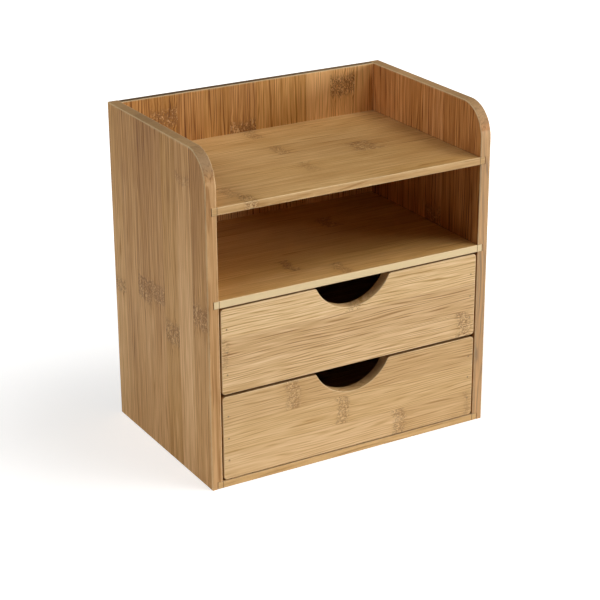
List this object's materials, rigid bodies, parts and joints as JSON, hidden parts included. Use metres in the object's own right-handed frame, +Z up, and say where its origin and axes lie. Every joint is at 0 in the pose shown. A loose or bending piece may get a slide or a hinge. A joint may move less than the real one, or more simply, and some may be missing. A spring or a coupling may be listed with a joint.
{
  "type": "desktop drawer cabinet",
  "caption": "Small bamboo desktop cabinet with an open top tray, a cubby and sliding drawers with half-round finger notches, for stationery and small things.",
  "frame": {"origin": "middle of the footprint, on the surface that the cabinet stands on", "axes": "+Z up; +Y towards the back, so the drawers pull out along -Y; +X to the right seen from the front"},
  "size_m": [0.1906, 0.124, 0.2032],
  "materials": {
    "bamboo_panel": "satin",
    "bamboo_shelf": "satin",
    "bamboo_front": "satin",
    "bamboo_inner": "satin",
    "bamboo_bottom": "satin",
    "pin_steel": "dull"
  },
  "bodies": {
    "cabinet": {"left_side_panel": "bamboo_panel", "right_side_panel": "bamboo_panel", "back_panel": "bamboo_panel", "top_shelf": "bamboo_shelf", "middle_shelf": "bamboo_shelf", "bottom_board": "bamboo_shelf", "left_runner": "bamboo_inner", "right_runner": "bamboo_inner", "runner_pins": "pin_steel"},
    "lower_drawer": {"lower_drawer_front": "bamboo_front", "lower_drawer_left_side": "bamboo_inner", "lower_drawer_right_side": "bamboo_inner", "lower_drawer_back": "bamboo_inner", "lower_drawer_bottom": "bamboo_bottom", "lower_drawer_pins": "pin_steel"},
    "upper_drawer": {"upper_drawer_front": "bamboo_front", "upper_drawer_left_side": "bamboo_inner", "upper_drawer_right_side": "bamboo_inner", "upper_drawer_back": "bamboo_inner", "upper_drawer_bottom": "bamboo_bottom", "upper_drawer_pins": "pin_steel"}
  },
  "joints": [
    {"name": "lower_drawer_slide", "type": "slide", "parent": "cabinet", "child": "lower_drawer", "axis": [0, -1, 0], "range_m": [0, 0.1]},
    {"name": "upper_drawer_slide", "type": "slide", "parent": "cabinet", "child": "upper_drawer", "axis": [0, -1, 0], "range_m": [0, 0.1]}
  ]
}
